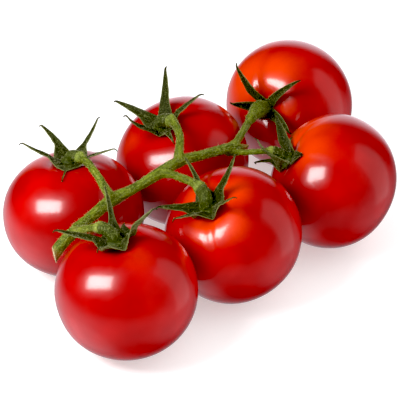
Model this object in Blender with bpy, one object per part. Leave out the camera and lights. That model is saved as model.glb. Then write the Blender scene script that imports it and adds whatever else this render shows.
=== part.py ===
# A truss of six vine tomatoes, lying on a flat surface.
#
# Frame: +Z up, +X along the main stem from its cut end to its tip, origin at the
# bottom centre of the whole truss. Sizes are written in millimetres and become
# metres where a mesh is made.
#
# Nodes: tomato_1 .. tomato_6, calyx_1 .. calyx_6 (the swollen upper fruit stalk with
# its five sepals) and stem (the main stem with the lower fruit stalks).

import math

import bmesh
import bpy
from mathutils import Vector

MM = 0.001
CENTRE = Vector((-1.46, 0.35, 0.0))     # the middle of the whole truss, set on the origin

# How the pieces meet.
TOUCH_GAP = 0.3          # left between pieces that touch
FACET_SLACK = 0.25       # added where flat facets bridge a hollow
REST_SINK = 0.3          # how much of each fruit's foot is flattened by the surface
CUT_EXACTNESS = 0.0001   # how near a point counts as on a cutting plane

# The fruit's form, shared by all six.
FRUIT_RINGS = 18
FRUIT_SEGMENTS = 28
RING_SPREAD = 1.25       # above 1 draws the rings towards the stem end
SQUARENESS = 0.95        # 1 is an ellipse, less is squarer
DIMPLE_DEPTH = 4.5
DIMPLE_RADIUS = 9.5
LOBE_DEPTH = 0.022       # of the radius, in the furrows near the stem end
LOBE_REACH = 0.75        # radians from the stem end over which the furrows fade
BLOSSOM_DEPTH = 0.9
BLOSSOM_RADIUS = 5.0

# The calyx's form.
HUB_BELOW_TOP = 2.0      # sepals spring this far below the fruit's fitted top
NECK_RADIUS = 1.6
# The disc above its neck: distance from the axis and height over the hub.
DISC_PROFILE = ((2.0, -1.2), (5.4, -0.4), (5.7, 0.5), (4.2, 1.2), (2.4, 1.5))
STALK_SEAT = 0.6         # height over the hub at which the fruit stalk ends
SEPAL_BASE_WIDTH = 10.0
SEPAL_TIP_WIDTH = 0.9
SEPAL_TAPER = 1.1
SEPAL_THICK = 0.8
SEPAL_FOLD = 0.20        # how far the edges stand above the midrib, of the width
SEPAL_ROOT = 1.6         # distance from the axis at which a blade begins
SEPAL_STATIONS = (0.0, 0.12, 0.26, 0.42, 0.6, 0.8, 1.0)

# The stem's form.
STEM_SIDES = 10
STALK_SIDES = 8
STEM_STEP = 4.0          # length of one span of a tube

SMOOTH_FRUIT = math.radians(40)      # edges sharper than this stay sharp
SMOOTH_STEM = math.radians(50)

# Each fruit: where it stands, its radius, how far its stem end and its foot are from
# its middle, how its axis leans and which way, and where its furrows start.
FRUITS = {
    1: dict(place=(-58.9, 32.4), radius=33.8, top=29.2, foot=30.3,
            lean=12.0, heading=61.0, furrows=5, turn=20.0),
    2: dict(place=(-81.0, -31.8), radius=33.1, top=29.4, foot=31.3,
            lean=9.5, heading=134.0, furrows=5, turn=60.0),
    3: dict(place=(8.7, 30.4), radius=32.9, top=28.7, foot=30.0,
            lean=25.0, heading=165.0, furrows=4, turn=0.0),
    4: dict(place=(-15.4, -32.4), radius=33.1, top=29.2, foot=29.7,
            lean=33.5, heading=175.0, furrows=5, turn=8.0),
    5: dict(place=(81.0, 31.0), radius=32.4, top=27.6, foot=29.2,
            lean=67.7, heading=-166.0, furrows=5, turn=30.0),
    6: dict(place=(48.3, -32.7), radius=33.0, top=27.6, foot=30.9,
            lean=57.7, heading=144.0, furrows=5, turn=48.0),
}

# Each sepal: its bearing round the fruit's axis, its rise above the fruit's shoulder
# at the root and at the tip, its length, how far it sweeps sideways, and its width as
# a share of the full width. Degrees and millimetres.
SEPALS = {
    1: ((78, 25, 11, 26, 7, 1.0), (159, 18, 46, 24, 5, 0.85), (227, 22, -16, 27, -13, 0.7),
        (290, 18, 28, 26, -8, 0.75), (6, 18, 56, 24, 4, 0.85)),
    2: ((52, 20, 24, 25, 5, 0.9), (155, 28, 27, 26.5, -14, 0.85), (213, 25, 37, 25, 10, 0.9),
        (283, 36, 52, 27, 10, 1.0), (345, 40, 70, 13, 0, 0.8)),
    3: ((24, 18, 54, 25, 0, 1.0), (96, 20, 20, 25, 8, 1.0), (183, 32, 95, 25, 0, 0.8),
        (249, 14, 18, 26, -8, 0.7), (316, 24, 30, 26, -8, 0.9)),
    4: ((52, 18, 12, 24, 14, 0.5), (140, 28, 59, 19, 17, 0.9), (203, 46, 56, 26, -6, 0.7),
        (283, 32, 43, 27, 15, 1.0), (340, 21, 50, 28, 9, 0.95)),
    5: ((67, 31, 38, 24, -10, 1.0), (125, 33, 88, 16, -20, 0.9), (205, 40, 60, 14, 0, 0.7),
        (296, 22, 36, 25, -21, 1.0), (354, 23, 6, 26, -14, 0.95)),
    6: ((8, 22, 32, 22, 0, 0.9), (81, 18, 0, 26, 0, 0.7), (211, 58, 146, 21, -10, 0.5),
        (262, 28, 50, 27, 10, 1.0), (312, 24, 30, 11, 0, 0.9)),
}

# The main stem from its cut end to its dry tip: x, y, z and radius.
MAIN_STEM = (
    (-100.6, 0.4, 38.3, 2.8), (-97.0, 0.3, 41.4, 2.8), (-92.5, -0.5, 45.9, 2.75),
    (-86.3, -1.7, 50.3, 2.9), (-74.9, -0.5, 52.6, 2.55), (-60.6, 1.0, 54.8, 3.1),
    (-47.9, -0.5, 56.4, 2.35), (-34.0, -2.3, 59.7, 2.8), (-18.7, 0.7, 57.7, 2.7),
    (-7.1, -0.5, 56.0, 2.3), (5.2, -1.1, 53.9, 2.5), (12.6, -1.0, 51.7, 2.6),
    (18.2, -1.2, 49.8, 1.6), (22.5, -2.0, 49.0, 0.9),
)
CUT_POINT = (-97.0, 0.3, 41.4)
CUT_NORMAL = (-0.86, 0.42, -0.12)    # the slanting cut, pointing off the end

# Each fruit stalk from the main stem to its fruit: x, y, z and radius. The first
# number is the point where its knuckle lies, which is where the stem ends and the
# calyx begins. The last point stands over the calyx, which closes the way down.
STALKS = {
    1: (5, ((-60.2, 1.0, 55.1, 2.7), (-62.4, 2.6, 59.0, 2.3), (-61.2, 9.0, 61.9, 1.9),
            (-59.4, 15.6, 63.0, 1.8), (-57.6, 22.0, 63.3, 1.85), (-56.4, 27.4, 62.8, 2.1),
            (-56.0, 32.0, 61.6, 2.8), (-56.0, 35.8, 59.9, 3.1))),
    2: (4, ((-86.6, -1.7, 50.4, 2.4), (-87.8, -6.6, 54.4, 2.1), (-87.8, -11.8, 57.8, 2.1),
            (-87.4, -17.0, 61.2, 2.1), (-86.5, -21.2, 63.0, 2.4),
            (-85.3, -25.0, 62.8, 3.0), (-84.3, -27.8, 60.8, 3.2))),
    3: (5, ((-20.0, 0.7, 57.5, 2.5), (-17.4, 3.2, 61.4, 2.1), (-11.4, 9.3, 62.6, 1.9),
            (-7.6, 15.0, 63.3, 1.85), (-5.0, 20.6, 62.9, 1.95), (-3.9, 24.6, 62.1, 2.4),
            (-3.2, 28.8, 60.2, 3.2), (-2.9, 32.0, 57.8, 3.4))),
    4: (5, ((-34.0, -2.3, 59.4, 2.6), (-33.2, -6.2, 60.6, 2.0), (-32.1, -10.6, 61.2, 1.75),
            (-31.9, -17.2, 62.4, 1.75), (-31.0, -22.4, 62.5, 1.95),
            (-30.4, -26.0, 61.5, 2.3), (-30.5, -29.0, 59.2, 2.5), (-31.0, -30.6, 56.8, 2.7))),
    5: (4, ((11.2, -0.9, 52.0, 2.5), (17.3, 1.4, 51.5, 2.2), (24.0, 5.2, 50.9, 1.9),
            (32.0, 10.2, 49.8, 1.9), (40.5, 15.8, 48.0, 2.3), (46.5, 19.4, 46.6, 2.9),
            (52.0, 22.6, 45.0, 3.7), (55.6, 24.6, 43.2, 3.9))),
    6: (5, ((9.4, -1.0, 52.6, 2.3), (13.4, -4.0, 52.4, 1.7), (17.2, -8.2, 52.0, 1.5),
            (20.6, -11.4, 51.5, 1.5), (23.6, -13.5, 51.2, 1.7), (26.0, -15.2, 50.8, 2.2),
            (28.2, -17.2, 49.8, 2.6), (29.8, -19.0, 48.2, 2.8))),
}

# Colour and roughness.
SKIN = ((0.62, 0.012, 0.004, 1.0), 0.18)
STEM_GREEN = ((0.16, 0.27, 0.045, 1.0), 0.6)
CALYX_GREEN = ((0.06, 0.13, 0.03, 1.0), 0.65)


def clear_scene():
    for item in list(bpy.data.objects):
        bpy.data.objects.remove(item, do_unlink=True)


def make_material(name, colour, roughness):
    material = bpy.data.materials.new(name)
    material.use_nodes = True
    shader = material.node_tree.nodes["Principled BSDF"]
    shader.inputs["Base Color"].default_value = colour
    shader.inputs["Roughness"].default_value = roughness
    shader.inputs["Metallic"].default_value = 0.0
    return material


def make_object(name, bm, material=None):
    """Turn a bmesh in metres into an object of the scene."""
    bmesh.ops.recalc_face_normals(bm, faces=bm.faces)
    mesh = bpy.data.meshes.new(name)
    bm.to_mesh(mesh)
    bm.free()
    item = bpy.data.objects.new(name, mesh)
    bpy.context.scene.collection.objects.link(item)
    if material:
        mesh.materials.append(material)
    return item


def fruit_frame(fruit):
    """Two cross directions and the axis that points out of the stem end."""
    lean = math.radians(fruit["lean"])
    heading = math.radians(fruit["heading"])
    axis = Vector((math.sin(lean) * math.cos(heading),
                   math.sin(lean) * math.sin(heading), math.cos(lean)))
    across = (Vector((1, 0, 0)) - axis * axis.x).normalized()
    return across, axis.cross(across), axis


def skin_point(fruit, polar, bearing):
    """A point of the skin in the fruit's own frame. Polar 0 is the stem end."""
    sine = math.sin(polar) ** SQUARENESS
    cosine = math.cos(polar)
    half = fruit["top"] if cosine > 0 else fruit["foot"]
    height = half * math.copysign(abs(cosine) ** SQUARENESS, cosine)
    radius = fruit["radius"] * sine
    # Furrows run from the dimple over the shoulder and fade out at the equator.
    shoulder = math.exp(-(polar / LOBE_REACH) ** 2)
    start = math.radians(fruit["turn"])
    furrow = 0.5 - 0.5 * math.cos(fruit["furrows"] * (bearing - start))
    radius *= 1.0 - LOBE_DEPTH * shoulder * furrow
    height -= DIMPLE_DEPTH * math.exp(-(radius / DIMPLE_RADIUS) ** 2) if cosine > 0 else 0
    if cosine < 0:
        height += BLOSSOM_DEPTH * math.exp(-(radius / BLOSSOM_RADIUS) ** 2)
    return radius, height


def make_fruit(name, fruit, material):
    """One tomato on its flattened foot. Returns its middle, in millimetres."""
    across, along, axis = fruit_frame(fruit)
    bm = bmesh.new()

    def place(polar, bearing):
        radius, height = skin_point(fruit, polar, bearing)
        spot = (across * math.cos(bearing) + along * math.sin(bearing)) * radius
        return bm.verts.new(spot + axis * height)

    rings = []
    for ring in range(1, FRUIT_RINGS + 1):
        polar = math.pi * (ring / (FRUIT_RINGS + 1)) ** RING_SPREAD
        rings.append([place(polar, math.tau * step / FRUIT_SEGMENTS)
                      for step in range(FRUIT_SEGMENTS)])
    top = place(0.0, 0.0)
    bottom = place(math.pi, 0.0)
    for step in range(FRUIT_SEGMENTS):
        after = (step + 1) % FRUIT_SEGMENTS
        bm.faces.new((top, rings[0][step], rings[0][after]))
        bm.faces.new((bottom, rings[-1][after], rings[-1][step]))
        for upper, lower in zip(rings, rings[1:]):
            bm.faces.new((upper[step], lower[step], lower[after], upper[after]))

    lowest = min(vert.co.z for vert in bm.verts)
    middle = Vector((*fruit["place"], -lowest - REST_SINK)) - CENTRE
    bmesh.ops.translate(bm, verts=bm.verts, vec=middle)
    cut = bmesh.ops.bisect_plane(bm, geom=bm.verts[:] + bm.edges[:] + bm.faces[:],
                                 dist=CUT_EXACTNESS, plane_no=(0, 0, 1),
                                 clear_inner=True)
    rim = [item for item in cut["geom_cut"] if isinstance(item, bmesh.types.BMEdge)]
    bmesh.ops.holes_fill(bm, edges=rim, sides=0)
    bmesh.ops.scale(bm, verts=bm.verts, vec=(MM, MM, MM))
    item = make_object(name, bm, material)
    item.data.shade_smooth()
    item.data.set_sharp_from_angle(angle=SMOOTH_FRUIT)
    return middle


def smooth_route(points):
    """Samples of a smooth curve through points of (x, y, z, radius).

    Returns the samples and the index at which each of the points lies.
    """
    rows = [Vector((x - CENTRE.x, y - CENTRE.y, z, radius)) for x, y, z, radius in points]
    rows = [rows[0] * 2 - rows[1]] + rows + [rows[-1] * 2 - rows[-2]]
    samples, marks = [], []
    for before, start, end, after in zip(rows, rows[1:], rows[2:], rows[3:]):
        spans = max(1, round((end - start).length / STEM_STEP))
        marks.append(len(samples))
        for step in range(spans):
            s = step / spans
            samples.append(0.5 * (2 * start + (end - before) * s
                                  + (2 * before - 5 * start + 4 * end - after) * s * s
                                  + (3 * start - before - 3 * end + after) * s ** 3))
    marks.append(len(samples))
    samples.append(rows[-2])
    return samples, marks


def directions(samples):
    ends = [samples[0]] + samples + [samples[-1]]
    return [(after.xyz - before.xyz).normalized() for before, after in zip(ends, ends[2:])]


def tube(name, samples, runs, sides):
    """A closed tube along samples of (x, y, z, radius), with flat ends."""
    bm = bmesh.new()
    side = Vector((0, 0, 1)).cross(runs[0]).normalized()
    rings = []
    for sample, run in zip(samples, runs):
        side = (side - run * side.dot(run)).normalized()
        other = run.cross(side)
        ring = []
        for step in range(sides):
            turn = math.tau * step / sides
            spoke = side * math.cos(turn) + other * math.sin(turn)
            ring.append(bm.verts.new((sample.xyz + spoke * sample.w) * MM))
        rings.append(ring)
    for near, far in zip(rings, rings[1:]):
        for step in range(sides):
            after = (step + 1) % sides
            bm.faces.new((near[step], near[after], far[after], far[step]))
    bm.faces.new(rings[0])
    bm.faces.new(rings[-1])
    return make_object(name, bm)


def calyx_disc(name, frame, hub, sides):
    """The flat disc under the sepals, with the short neck that enters the fruit."""
    across, along, axis = frame
    foot = HUB_BELOW_TOP - DIMPLE_DEPTH + TOUCH_GAP + FACET_SLACK
    bm = bmesh.new()
    rings = []
    for radius, height in ((NECK_RADIUS, foot), *DISC_PROFILE):
        ring = []
        for step in range(sides):
            turn = math.tau * step / sides
            spoke = across * math.cos(turn) + along * math.sin(turn)
            ring.append(bm.verts.new((hub + spoke * radius + axis * height) * MM))
        rings.append(ring)
    for low, high in zip(rings, rings[1:]):
        for step in range(sides):
            after = (step + 1) % sides
            bm.faces.new((low[step], low[after], high[after], high[step]))
    bm.faces.new(rings[0])
    bm.faces.new(rings[-1])
    return make_object(name, bm)


def sepal(name, frame, hub, bearing, rise_root, rise_tip, length, sweep, share):
    """One lance-shaped blade, folded up along its midrib."""
    across, along, axis = frame
    bearing, sweep = math.radians(bearing), math.radians(sweep)
    rise_root, rise_tip = math.radians(rise_root), math.radians(rise_tip)
    out = across * math.cos(bearing) + along * math.sin(bearing)
    spot = hub + out * SEPAL_ROOT
    last = 0.0
    bm = bmesh.new()
    sections = []
    for s in SEPAL_STATIONS:
        middle = (s + last) / 2
        for stage in (middle, s):
            turn = bearing + sweep * stage * stage
            rise = rise_root + (rise_tip - rise_root) * stage
            out = across * math.cos(turn) + along * math.sin(turn)
            run = out * math.cos(rise) + axis * math.sin(rise)
            if stage == middle:
                spot = spot + run * length * (s - last)
        last = s
        wide = axis.cross(out)
        up = run.cross(wide)
        full = SEPAL_BASE_WIDTH * share - SEPAL_TIP_WIDTH
        width = SEPAL_TIP_WIDTH + full * (1 - s) ** SEPAL_TAPER
        lift = SEPAL_FOLD * width
        row = []
        for level, order in ((SEPAL_THICK, (-1, 0, 1)), (0.0, (1, 0, -1))):
            for part in order:
                point = spot + wide * part * width / 2 + up * (level + lift * abs(part))
                row.append(bm.verts.new(point * MM))
        sections.append(row)
    for near, far in zip(sections, sections[1:]):
        for step in range(6):
            after = (step + 1) % 6
            # The same diagonal on both faces, so that they never cross.
            if step in (0, 3, 2):
                bm.faces.new((near[step], near[after], far[after]))
                bm.faces.new((near[step], far[after], far[step]))
            else:
                bm.faces.new((near[step], near[after], far[step]))
                bm.faces.new((near[after], far[after], far[step]))
    for row in (sections[0], sections[-1]):
        bm.faces.new((row[0], row[1], row[4], row[5]))
        bm.faces.new((row[1], row[2], row[3], row[4]))
    return make_object(name, bm)


def join(name, pieces, material):
    """One Boolean union of pieces that overlap, as one closed object."""
    group = bpy.data.collections.new(name + "_pieces")
    bpy.context.scene.collection.children.link(group)
    for piece in pieces[1:]:
        group.objects.link(piece)
        bpy.context.scene.collection.objects.unlink(piece)
    joint = pieces[0].modifiers.new("union", "BOOLEAN")
    joint.operation = "UNION"
    joint.operand_type = "COLLECTION"
    joint.collection = group
    joint.solver = "EXACT"
    graph = bpy.context.evaluated_depsgraph_get()
    mesh = bpy.data.meshes.new_from_object(pieces[0].evaluated_get(graph))
    for piece in pieces:
        bpy.data.objects.remove(piece, do_unlink=True)
    bpy.data.collections.remove(group)
    mesh.name = name
    mesh.materials.clear()
    mesh.materials.append(material)
    mesh.shade_smooth()
    mesh.set_sharp_from_angle(angle=SMOOTH_STEM)
    item = bpy.data.objects.new(name, mesh)
    bpy.context.scene.collection.objects.link(item)
    return item


def stalk_route(number):
    """The whole fruit stalk's samples and directions, and its knuckle's index."""
    knuckle, points = STALKS[number]
    samples, marks = smooth_route(points)
    return samples, directions(samples), marks[knuckle]


def make_calyx(number, middle, material):
    fruit = FRUITS[number]
    frame = fruit_frame(fruit)
    axis = frame[2]
    hub = middle + axis * (fruit["top"] - HUB_BELOW_TOP)
    samples, runs, knuckle = stalk_route(number)
    upper = [sample.copy() for sample in samples[knuckle:]]
    upper_runs = runs[knuckle:]
    upper[0] = Vector((*(upper[0].xyz + upper_runs[0] * TOUCH_GAP), upper[0].w))
    # The stalk ends inside the disc, heading straight down the fruit's axis.
    upper.append(Vector((*(hub + axis * STALK_SEAT), upper[-1].w)))
    upper_runs = upper_runs[:-1] + [(upper_runs[-1] - axis).normalized(), -axis]
    name = "calyx_%d" % number
    pieces = [tube(name + "_stalk", upper, upper_runs, STALK_SIDES),
              calyx_disc(name + "_disc", frame, hub, 2 * STALK_SIDES)]
    for count, blade in enumerate(SEPALS[number]):
        pieces.append(sepal("%s_sepal_%d" % (name, count), frame, hub, *blade))
    return join(name, pieces, material)


def make_stem(material):
    samples, _ = smooth_route(MAIN_STEM)
    pieces = [tube("stem_main", samples, directions(samples), STEM_SIDES)]
    for number in STALKS:
        samples, runs, knuckle = stalk_route(number)
        pieces.append(tube("stem_stalk_%d" % number, samples[:knuckle + 1],
                           runs[:knuckle + 1], STALK_SIDES))
    stem = join("stem", pieces, material)
    bm = bmesh.new()
    bm.from_mesh(stem.data)
    cut = bmesh.ops.bisect_plane(bm, geom=bm.verts[:] + bm.edges[:] + bm.faces[:],
                                 dist=CUT_EXACTNESS * MM,
                                 plane_co=(Vector(CUT_POINT) - CENTRE) * MM,
                                 plane_no=CUT_NORMAL, clear_outer=True)
    rim = [item for item in cut["geom_cut"] if isinstance(item, bmesh.types.BMEdge)]
    bmesh.ops.holes_fill(bm, edges=rim, sides=0)
    bmesh.ops.recalc_face_normals(bm, faces=bm.faces)
    bm.to_mesh(stem.data)
    bm.free()
    return stem


clear_scene()
skin = make_material("tomato_skin", *SKIN)
green = make_material("stem_green", *STEM_GREEN)
dark_green = make_material("calyx_green", *CALYX_GREEN)
for number, fruit in FRUITS.items():
    middle = make_fruit("tomato_%d" % number, fruit, skin)
    make_calyx(number, middle, dark_green)
make_stem(green)
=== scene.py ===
import math
import random

import bmesh
import bpy
from mathutils import Matrix, Vector, kdtree, noise


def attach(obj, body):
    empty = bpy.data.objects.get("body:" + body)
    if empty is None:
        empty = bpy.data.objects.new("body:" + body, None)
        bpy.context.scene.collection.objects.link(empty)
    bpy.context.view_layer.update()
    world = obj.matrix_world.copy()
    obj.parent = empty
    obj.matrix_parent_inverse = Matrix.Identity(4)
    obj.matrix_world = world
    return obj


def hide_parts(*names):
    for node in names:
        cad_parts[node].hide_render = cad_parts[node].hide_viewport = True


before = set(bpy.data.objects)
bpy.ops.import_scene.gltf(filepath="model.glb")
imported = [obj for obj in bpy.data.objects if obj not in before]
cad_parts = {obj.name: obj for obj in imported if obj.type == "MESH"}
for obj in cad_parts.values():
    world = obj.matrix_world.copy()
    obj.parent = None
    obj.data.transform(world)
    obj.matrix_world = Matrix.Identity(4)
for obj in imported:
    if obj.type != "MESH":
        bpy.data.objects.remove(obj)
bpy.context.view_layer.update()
bpy.ops.object.select_all(action="DESELECT")

# The lengths in this file are millimetres of the real truss, and mm turns them into metres.
mm = 0.001
trussMiddle = Vector((-1.46, 0.35, 0.0))     # set on the origin, as in the solids


def pickOnly(*items):
    # operators act on what is selected, so everything else is let go first
    bpy.ops.object.select_all(action="DESELECT")
    for item in items:
        item.select_set(True)
    bpy.context.view_layer.objects.active = items[0]


def applyModifiers(item):
    pickOnly(item)
    for modifier in list(item.modifiers):
        bpy.ops.object.modifier_apply(modifier=modifier.name)


def addItem(name, data):
    item = bpy.data.objects.new(name, data)
    bpy.context.scene.collection.objects.link(item)
    return item


def closeMesh(name, bm):
    # the faces gathered in bm as an object, all turned the same way
    bmesh.ops.recalc_face_normals(bm, faces=bm.faces)
    mesh = bpy.data.meshes.new(name)
    bm.to_mesh(mesh)
    bm.free()
    return addItem(name, mesh)


def cutAway(place, normal, **cleared):
    # the active piece is cut by a plane, one side of it goes and the hole is filled
    bpy.ops.object.mode_set(mode="EDIT")
    bpy.ops.mesh.select_all(action="SELECT")
    bpy.ops.mesh.bisect(plane_co=place, plane_no=normal, use_fill=True, threshold=1e-7, **cleared)
    bpy.ops.object.mode_set(mode="OBJECT")


def smoothStep(low, high, value):
    share = min(1.0, max(0.0, (value - low) / (high - low)))
    return share * share * (3.0 - 2.0 * share)


def writeAttribute(mesh, name, values, kind="FLOAT"):
    layer = mesh.attributes.new(name, kind, "POINT")
    for place, value in zip(layer.data, values):
        if kind == "FLOAT":
            place.value = value
        else:
            place.vector = value


# Materials: node sockets as Python values

class Wire:
    # one output socket, so that sums written in Python become Math nodes
    def __init__(self, tree, socket=None):
        self.tree = tree
        self.socket = socket

    def node(self, kind, settings=None, sockets=None, out=0):
        made = self.tree.nodes.new(kind)
        for name, value in (settings or {}).items():
            setattr(made, name, value)
        for name, value in (sockets or {}).items():
            if isinstance(value, Wire):
                self.tree.links.new(value.socket, made.inputs[name])
            else:
                made.inputs[name].default_value = value
        return Wire(self.tree, made.outputs[out])

    def maths(self, operation, *values, clamp=False):
        return self.node("ShaderNodeMath", {"operation": operation, "use_clamp": clamp},
                         dict(enumerate(values)))

    def __add__(self, other):
        return self.maths("ADD", self, other)

    def __radd__(self, other):
        return self.maths("ADD", other, self)

    def __sub__(self, other):
        return self.maths("SUBTRACT", self, other)

    def __rsub__(self, other):
        return self.maths("SUBTRACT", other, self)

    def __mul__(self, other):
        return self.maths("MULTIPLY", self, other)

    def __rmul__(self, other):
        return self.maths("MULTIPLY", other, self)

    def clamped(self):
        return self.maths("ADD", self, 0.0, clamp=True)

    def between(self, low, high, start=0.0, end=1.0):
        # eased from start at low to end at high
        return self.node("ShaderNodeMapRange", {"interpolation_type": "SMOOTHSTEP"},
                         {"Value": self, "From Min": low, "From Max": high,
                          "To Min": start, "To Max": end})

    def blend(self, first, second):
        # a colour, first where this value is 0 and second where it is 1
        return self.node("ShaderNodeMix", {"data_type": "RGBA"},
                         {0: self, 6: first, 7: second}, out=2)

    def onPiece(self):
        # where the shaded point is on its piece
        return self.node("ShaderNodeTexCoord", out="Object")

    def stored(self, name, out=2):
        # an attribute of the mesh, as a number or, with out=1, as a vector
        return self.node("ShaderNodeAttribute", {"attribute_name": name}, out=out)

    def grain(self, vector, scale, detail=2.0, rough=0.5):
        return self.node("ShaderNodeTexNoise", None, {"Vector": vector, "Scale": scale,
                                                      "Detail": detail, "Roughness": rough})

    def stretched(self, vector, factors):
        return self.node("ShaderNodeVectorMath", {"operation": "MULTIPLY"},
                         {0: vector, 1: factors})

    def spots(self, vector, scale):
        # distance to the nearest of scattered points
        return self.node("ShaderNodeTexVoronoi", None, {"Vector": vector, "Scale": scale})

    def bump(self, height, distance, strength):
        return self.node("ShaderNodeBump", None,
                         {"Height": height, "Distance": distance, "Strength": strength})


def newMaterial(name, fixed):
    # fixed holds the shader's numbers that are the same all over
    material = bpy.data.materials.new(name)
    material.use_nodes = True
    tree = material.node_tree
    shader = tree.nodes["Principled BSDF"]
    for socket, value in fixed.items():
        shader.inputs[socket].default_value = value
    return material, Wire(tree), shader


def feed(shader, sockets):
    for name, wire in sockets.items():
        wire.tree.links.new(wire.socket, shader.inputs[name])


skinLook = {
    "red": (0.48, 0.0035, 0.0022, 1.0),
    "deep": (0.36, 0.0022, 0.0020, 1.0),
    "orange": (0.74, 0.048, 0.003, 1.0),
    "scar": (0.30, 0.10, 0.02, 1.0),
    "fixed": {"Specular IOR Level": 0.4, "Coat Weight": 0.92, "Coat Roughness": 0.165},
    # scales of the patterns, per metre
    "patches": 38.0, "grain": 900.0, "flecks": 1500.0, "waves": 150.0, "pores": 2600.0,
    # where each mask starts and is full, and how much it counts
    "ripeRange": (0.35, 0.7), "warmRange": (0.15, 0.95), "warmPatches": 0.5, "warmGrain": 0.12,
    "fleckSize": (0.05, 0.22), "fleckShare": 0.10, "fleckLeast": 0.4,
    "rough": 0.26, "roughWaves": 0.12, "roughScar": 0.4,
    "waveHeight": 0.9, "poreHeight": 0.03, "bump": (0.00022, 0.6),
}


def tomatoSkin():
    look = skinLook
    material, wire, shader = newMaterial("tomatoSkin", look["fixed"])
    place = wire.onPiece()
    warm = wire.stored("orangeAndPaintedLight")
    scar = wire.stored("scar")
    broad = wire.grain(place, look["patches"], detail=3.0)
    fine = wire.grain(place, look["grain"], rough=0.6)
    fleck = wire.spots(place, look["flecks"]).between(*look["fleckSize"], 1.0, 0.0)
    ripe = broad.between(*look["ripeRange"]).blend(look["deep"], look["red"])
    # the orange share: the fruit's own orange shoulders plus painted light, orange where the key
    # light falls; the flecks follow it
    orangeAndPaintedLight = warm + (broad - 0.5) * look["warmPatches"] + (fine - 0.5) * look["warmGrain"]
    glow = orangeAndPaintedLight.between(*look["warmRange"])
    colour = glow.blend(ripe, look["orange"])
    freckled = fleck * look["fleckShare"] * (look["fleckLeast"] + glow)
    colour = freckled.blend(colour, look["orange"])
    colour = scar.blend(colour, look["scar"])
    wave = wire.grain(place, look["waves"])
    pores = wire.grain(place, look["pores"], detail=1.0)
    rough = look["rough"] + wave * look["roughWaves"] + scar * look["roughScar"]
    height = wave * look["waveHeight"] + pores * look["poreHeight"]
    feed(shader, {"Base Color": colour, "Roughness": rough,
                  "Normal": wire.bump(height, *look["bump"])})
    return material


# Fruit

# place, size, lean and furrows are those of the solids. warm lists orange places as a
# direction, a reach in degrees and a strength, and creases as bearing, depth, width and reach.
# the warm places are partly the fruit's own orange and partly painted light: orange laid where the
# key light falls brightest
fruits = {
    1: dict(place=(-58.9, 32.4), radius=33.8, top=29.2, foot=30.3, lean=12.0, heading=61.0,
            furrows=5, turn=20.0, warm=((-0.33, 0.62, 0.72, 24, 0.5), (0.8, 0.4, 0.4, 20, 0.4)),
            creases=((-60, 0.25, 2.6, 0.7), (100, 0.2, 2.4, 0.7))),
    2: dict(place=(-81.0, -31.8), radius=33.1, top=29.4, foot=31.3, lean=9.5, heading=134.0,
            furrows=5, turn=60.0, warm=((-0.06, -0.29, 0.96, 24, 0.5), (0.5, -0.6, 0.6, 18, 0.3)),
            creases=((-85, 0.25, 2.2, 0.7), (60, 0.2, 2.4, 0.7))),
    3: dict(place=(8.7, 30.4), radius=32.9, top=28.7, foot=30.0, lean=25.0, heading=165.0,
            furrows=4, turn=0.0, warm=((-0.75, 0.42, 0.5, 22, 0.5), (0.2, 0.7, 0.6, 22, 0.4)),
            creases=((-20, 0.3, 2.4, 0.8), (150, 0.25, 2.4, 0.8))),
    4: dict(place=(-15.4, -32.4), radius=33.1, top=29.2, foot=29.7, lean=33.5, heading=175.0,
            furrows=5, turn=8.0, warm=((-0.48, 0.32, 0.82, 22, 0.9), (-0.12, -0.16, 0.98, 20, 0.8),
                                       (-0.72, -0.2, 0.66, 20, 1.0), (-0.5, -0.5, 0.7, 20, 0.7)),
            creases=((-136, 0.8, 2.4, 0.9), (46, 0.5, 1.5, 0.95), (-20, 0.3, 2.0, 0.8))),
    5: dict(place=(81.0, 31.0), radius=32.4, top=27.6, foot=29.2, lean=67.7, heading=-166.0,
            furrows=5, turn=30.0, warm=((-0.7, 0.35, 0.62, 38, 1.0), (-0.45, -0.1, 0.9, 26, 0.9),
                                        (-0.62, -0.62, 0.48, 16, 0.6)),
            creases=((64, 0.6, 1.9, 0.95), (-116, 0.5, 1.8, 0.8))),
    6: dict(place=(48.3, -32.7), radius=33.0, top=27.6, foot=30.9, lean=57.7, heading=144.0,
            furrows=5, turn=48.0, warm=((-0.30, 0.48, 0.83, 40, 1.0), (-0.5, 0.1, 0.86, 28, 0.9)),
            creases=((-32, 0.5, 1.8, 0.85), (-100, 0.35, 2.0, 0.8), (60, 0.3, 2.4, 0.8))),
}
fruitShape = {"segments": 144, "rings": 96, "spread": 1.25, "squareness": 0.95,
              "dimpleDepth": 4.5, "dimpleRadius": 9.5, "lobeDepth": 0.022, "lobeReach": 0.75,
              "blossomDepth": 0.9, "blossomRadius": 5.0, "sink": 0.3,
              "hubBelowTop": 2.0, "dent": 0.35, "dentSize": 0.055, "dentSeed": (11.3, 4.7, 2.9),
              "creaseFrom": 2.0, "creaseTo": 7.0, "neckWarmth": 0.25, "neckReach": 0.45,
              "scarReach": 0.05, "solidRings": 18, "solidSegments": 28}


def fruitAxes(fruit):
    lean, heading = math.radians(fruit["lean"]), math.radians(fruit["heading"])
    axis = Vector((math.sin(lean) * math.cos(heading),
                   math.sin(lean) * math.sin(heading), math.cos(lean)))
    across = (Vector((1, 0, 0)) - axis * axis.x).normalized()
    return across, axis.cross(across), axis


def spoke(axes, bearing):
    # the way out from the fruit's axis at this bearing
    across, along, axis = axes
    return across * math.cos(bearing) + along * math.sin(bearing)


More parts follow.
